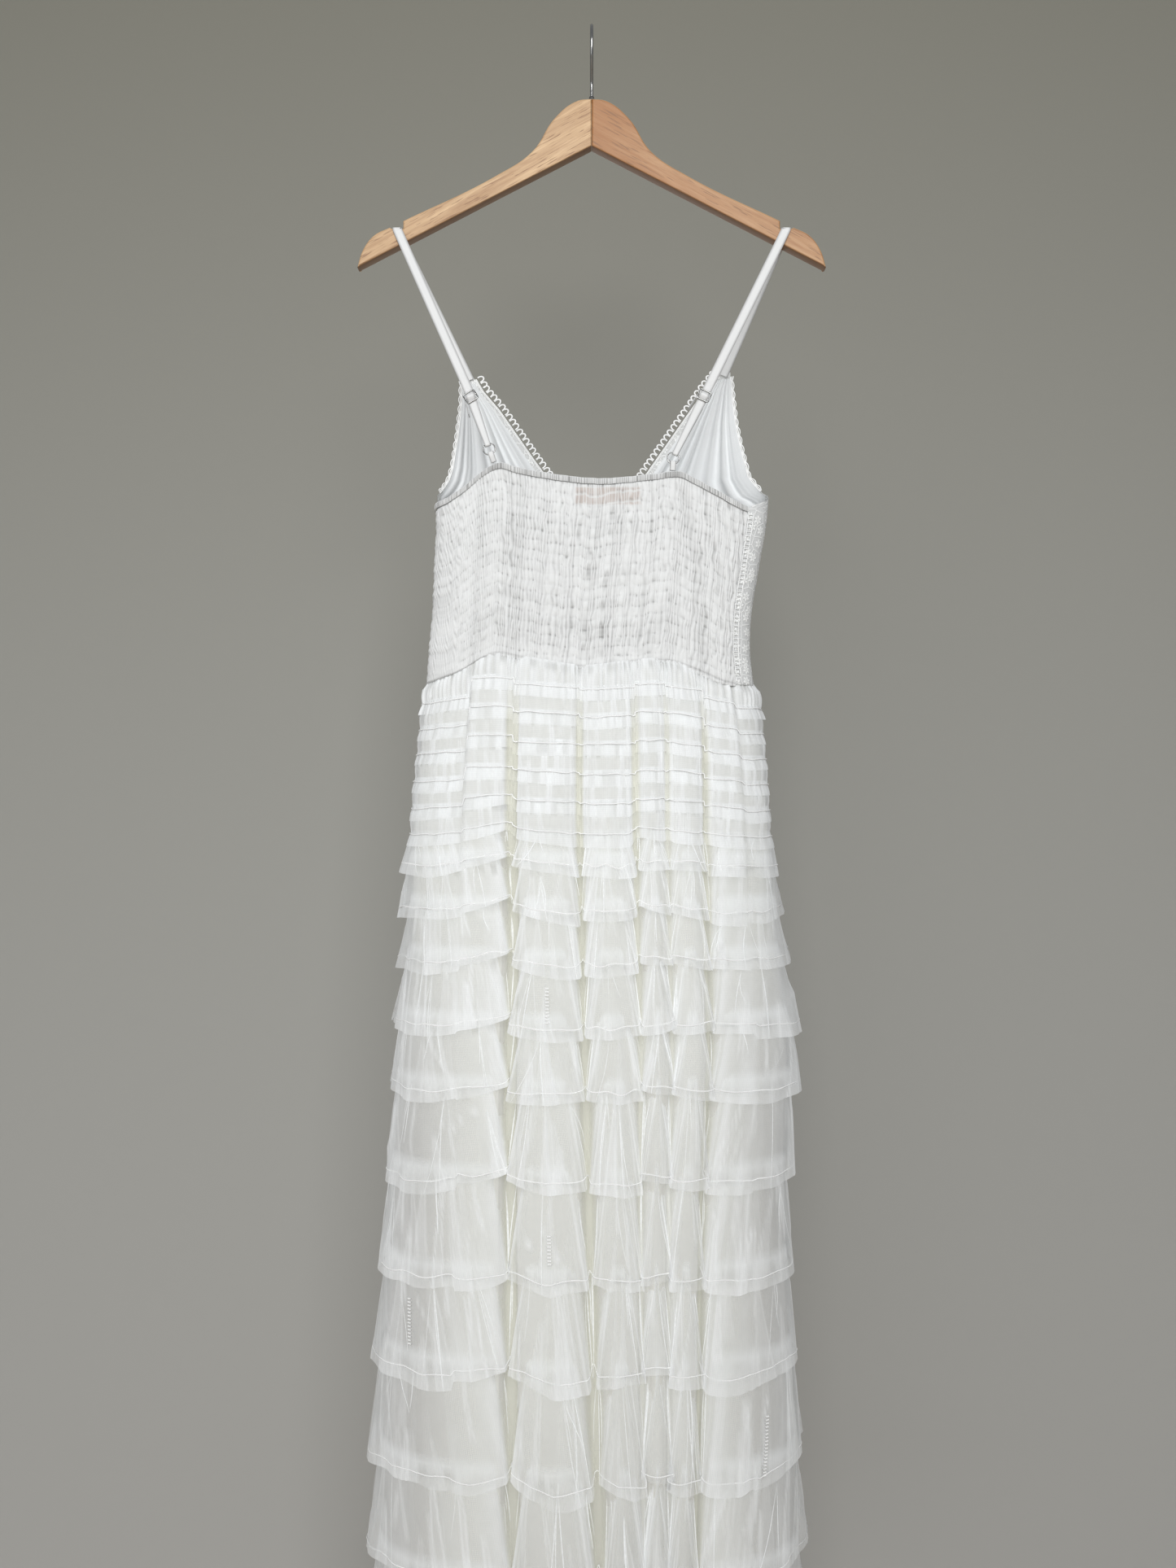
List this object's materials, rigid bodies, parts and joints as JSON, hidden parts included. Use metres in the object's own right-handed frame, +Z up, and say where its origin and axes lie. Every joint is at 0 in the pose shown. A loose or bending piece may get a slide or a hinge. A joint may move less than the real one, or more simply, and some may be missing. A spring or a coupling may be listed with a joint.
{
  "type": "maxi dress on a wooden hanger",
  "caption": "Sleeveless tiered tulle maxi dress with a smocked back, V neck and thin adjustable straps, hanging on a notched wooden hanger.",
  "frame": {"origin": "inside top of the hanger's hook, where a rail carries it", "axes": "+Z up, +Y out of the smocked back, -Y out of the V-neck front, +X to the wearer's left"},
  "size_m": [0.4478, 0.1994, 1.5407],
  "materials": {
    "beech": "satin varnished light wood",
    "nickel_plate": "polished plating",
    "satin": "white satin",
    "smocked_cloth": "white shirred cotton lace",
    "lace": "white lace",
    "label": "plain woven label",
    "underskirt": "off-white lining cloth",
    "tulle": "white stiff tulle"
  },
  "bodies": {
    "root": {"hanger_left": "beech", "hanger_right": "beech", "hanger_hook": "nickel_plate", "ring_left": "nickel_plate", "ring_right": "nickel_plate", "slider_left": "nickel_plate", "slider_right": "nickel_plate", "strap_left": "satin", "strap_right": "satin", "tail_left": "satin", "tail_right": "satin", "tab_left": "satin", "tab_right": "satin", "lining_left": "satin", "lining_right": "satin", "back_bodice": "smocked_cloth", "back_band": "smocked_cloth", "front_left": "lace", "front_right": "lace", "neck_trim_left": "lace", "neck_trim_right": "lace", "armhole_trim_left": "lace", "armhole_trim_right": "lace", "neck_label": "label", "skirt_back": "underskirt", "skirt_front": "underskirt", "ruffle_01": "tulle", "ruffle_02": "tulle", "ruffle_03": "tulle", "ruffle_04": "tulle", "ruffle_05": "tulle", "ruffle_06": "tulle", "tier_01": "tulle", "tier_02": "tulle", "tier_03": "tulle", "tier_04": "tulle", "tier_05": "tulle", "tier_06": "tulle", "tier_07": "tulle", "tier_08": "tulle", "tier_09": "tulle", "tier_10": "tulle", "tier_11": "tulle"}
  },
  "joints": []
}
